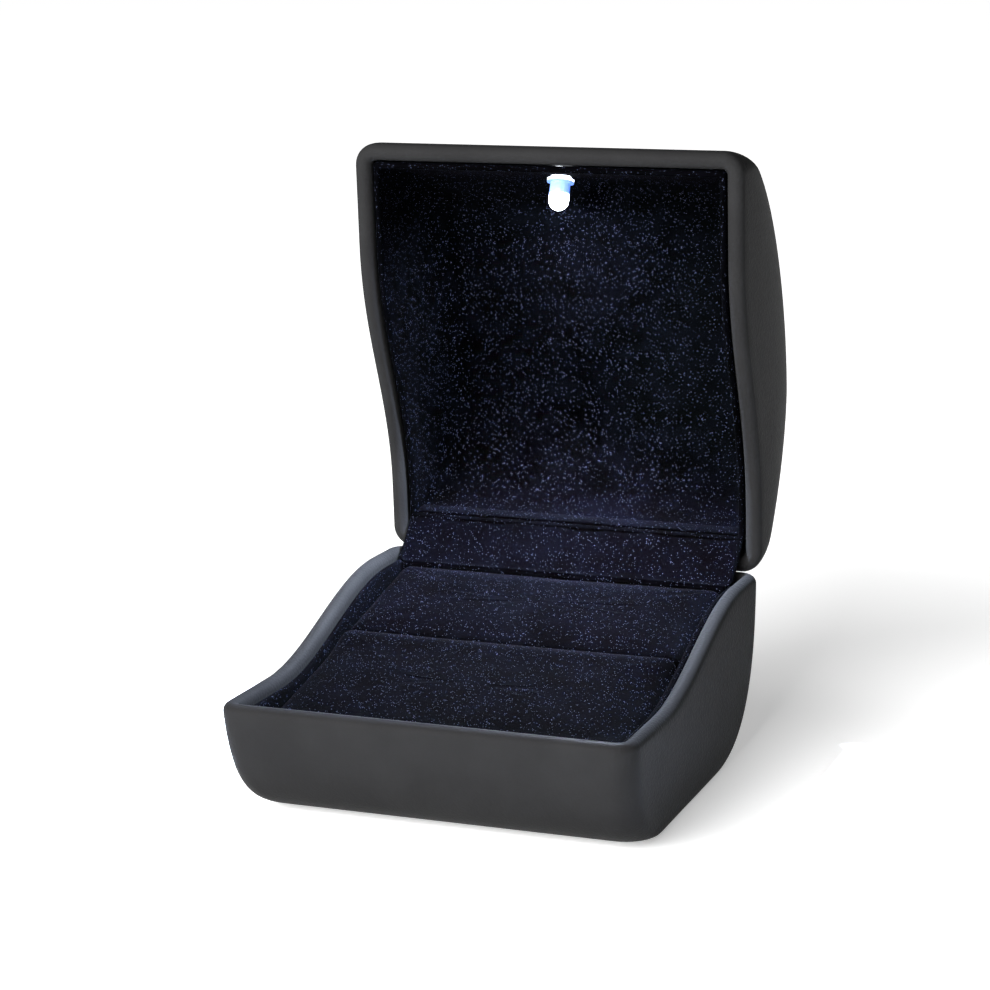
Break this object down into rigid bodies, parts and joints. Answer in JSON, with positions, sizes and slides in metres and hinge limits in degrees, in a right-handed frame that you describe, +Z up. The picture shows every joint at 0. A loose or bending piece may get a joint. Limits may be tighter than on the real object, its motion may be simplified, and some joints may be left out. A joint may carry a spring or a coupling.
{
  "type": "ring box",
  "caption": "Black ring box standing open, with a wave-shaped parting line, velvet lining, a slotted ring pad and a small lamp in the lid.",
  "frame": {"origin": "on the floor, under the middle of the base shell", "axes": "+Z up, -Y towards the low front edge, +X to the right seen from the front"},
  "size_m": [0.06, 0.0896, 0.0908],
  "materials": {
    "leatherette": "satin black, finely grained like leather",
    "velvet": "black velvet pile with a fine blue sparkle",
    "card": "plain grey board",
    "steel": "plated strip and fastenings",
    "lamp_lens": "clear moulded lamp, lit cool white",
    "reed_glass": "clear",
    "circuit_board": "green coated board",
    "black_plastic": "plain",
    "red_plastic": "wire sleeve"
  },
  "bodies": {
    "base": {"base_shell": "leatherette", "base_tray": "velvet", "ring_pad_board": "card", "ring_pad_front_roll": "velvet", "ring_pad_rear_roll": "velvet", "switch_magnet": "steel", "hinge_flap": "velvet", "hinge_base_leaf_left": "steel", "hinge_base_leaf_right": "steel", "hinge_pin_left": "steel", "hinge_pin_right": "steel", "base_screw_left_outer": "steel", "base_screw_left_inner": "steel", "base_screw_right_outer": "steel", "base_screw_right_inner": "steel"},
    "lid": {"lid_shell": "leatherette", "lid_tray": "velvet", "lamp_led": "lamp_lens", "lamp_wire_black": "black_plastic", "lamp_wire_red": "red_plastic", "reed_switch": "reed_glass", "circuit_board": "circuit_board", "cell_holder": "black_plastic", "coin_cell_left": "steel", "coin_cell_right": "steel", "cell_strap": "steel", "hinge_lid_leaf_left": "steel", "hinge_lid_leaf_right": "steel", "lid_screw_left_outer": "steel", "lid_screw_left_inner": "steel", "lid_screw_right_outer": "steel", "lid_screw_right_inner": "steel"}
  },
  "joints": [
    {"name": "lid_hinge", "type": "hinge", "parent": "base", "child": "lid", "pos_m": [0, 0.0324, 0.0268], "axis": [1, 0, 0], "range_deg": [0, 85], "deforming": ["hinge_flap"]}
  ]
}
